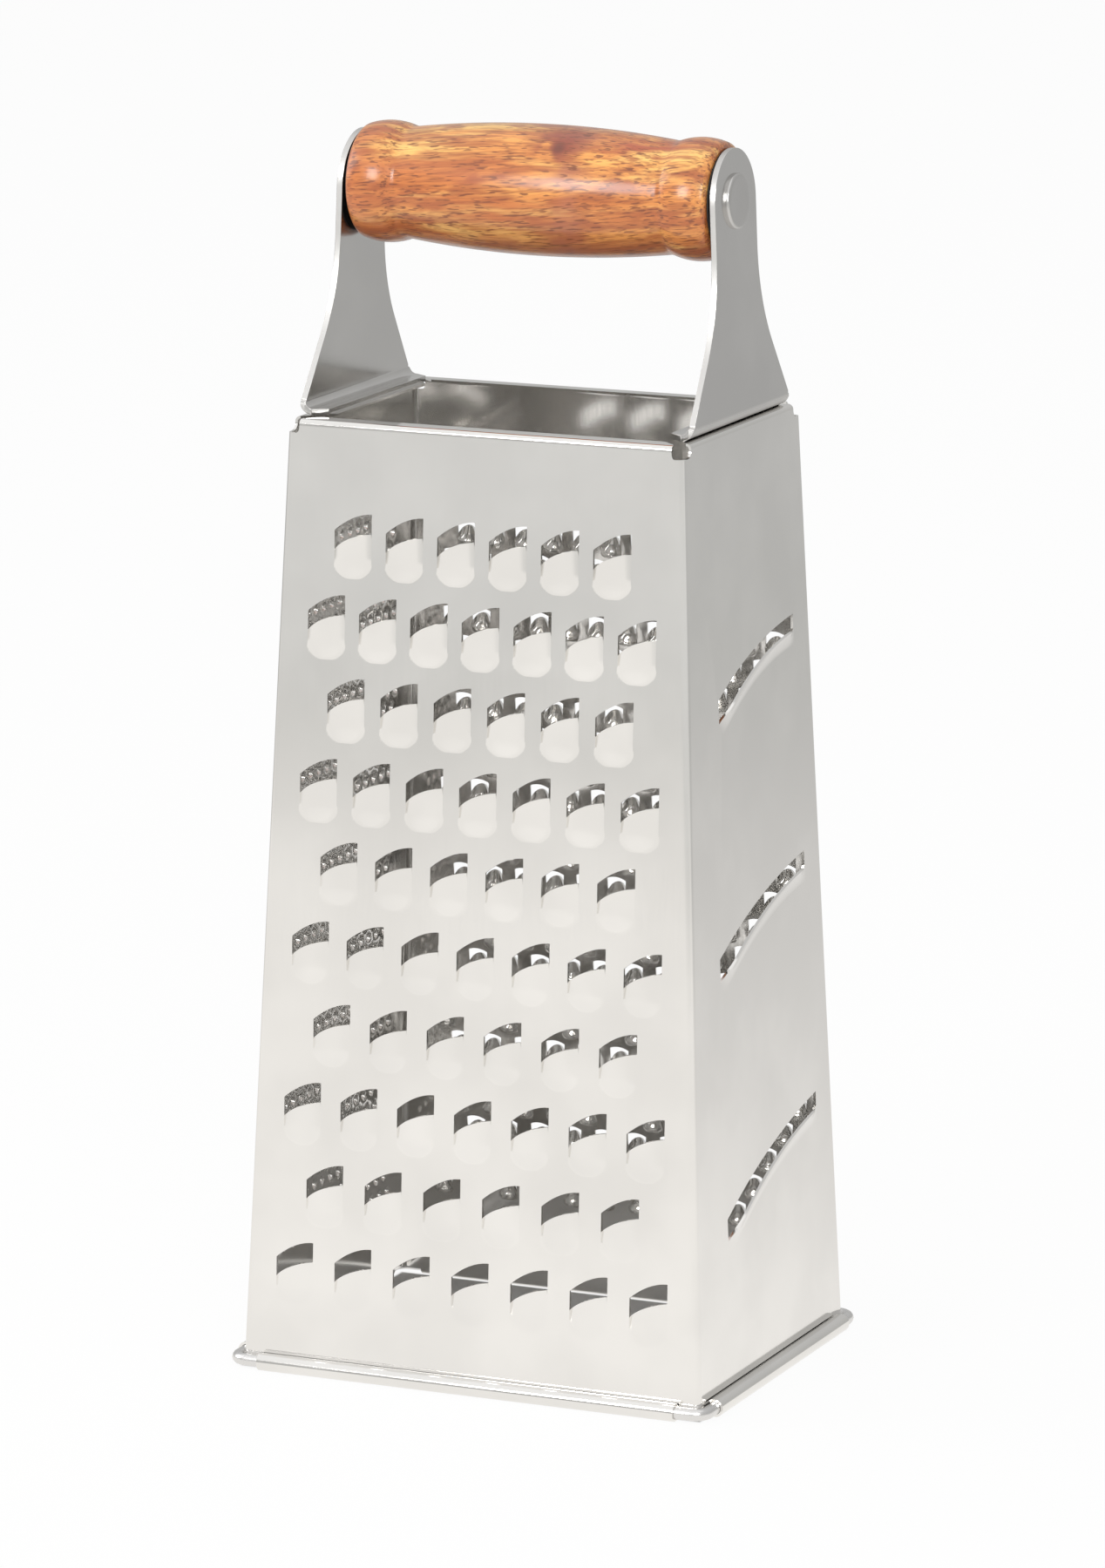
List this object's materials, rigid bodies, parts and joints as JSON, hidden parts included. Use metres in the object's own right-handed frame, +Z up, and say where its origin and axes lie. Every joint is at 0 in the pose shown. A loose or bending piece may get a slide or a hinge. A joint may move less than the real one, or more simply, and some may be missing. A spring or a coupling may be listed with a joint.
{
  "type": "box grater",
  "caption": "Tapered four-sided steel box grater with a coarse, a medium, a zesting and a slicing face, a wired base and a turned wooden grip riveted between two arms.",
  "frame": {"origin": "on the floor plane, under the middle of the box-shaped body", "axes": "+X along the grip towards the slicing face, -Y out of the coarse face, +Z up"},
  "size_m": [0.104, 0.0814, 0.2449],
  "materials": {
    "body_steel": "satin stainless sheet",
    "wire_steel": "drawn stainless wire",
    "arm_steel": "satin stainless sheet",
    "rivet_steel": "pressed stainless rivet",
    "grip_wood": "oiled and polished hardwood",
    "washer_black": "matt black"
  },
  "bodies": {
    "root": {"coarse_wall": "body_steel", "slicer_wall": "body_steel", "medium_wall": "body_steel", "zester_wall": "body_steel", "base_wire": "wire_steel", "right_arm": "arm_steel", "left_arm": "arm_steel", "grip_rivet": "rivet_steel", "left_washer": "washer_black", "right_washer": "washer_black"},
    "grip": {"wooden_grip": "grip_wood"}
  },
  "joints": [
    {"name": "grip_spin", "type": "hinge", "parent": "root", "child": "grip", "pos_m": [0, 0, 0.2321], "axis": [1, 0, 0], "continuous": true}
  ]
}
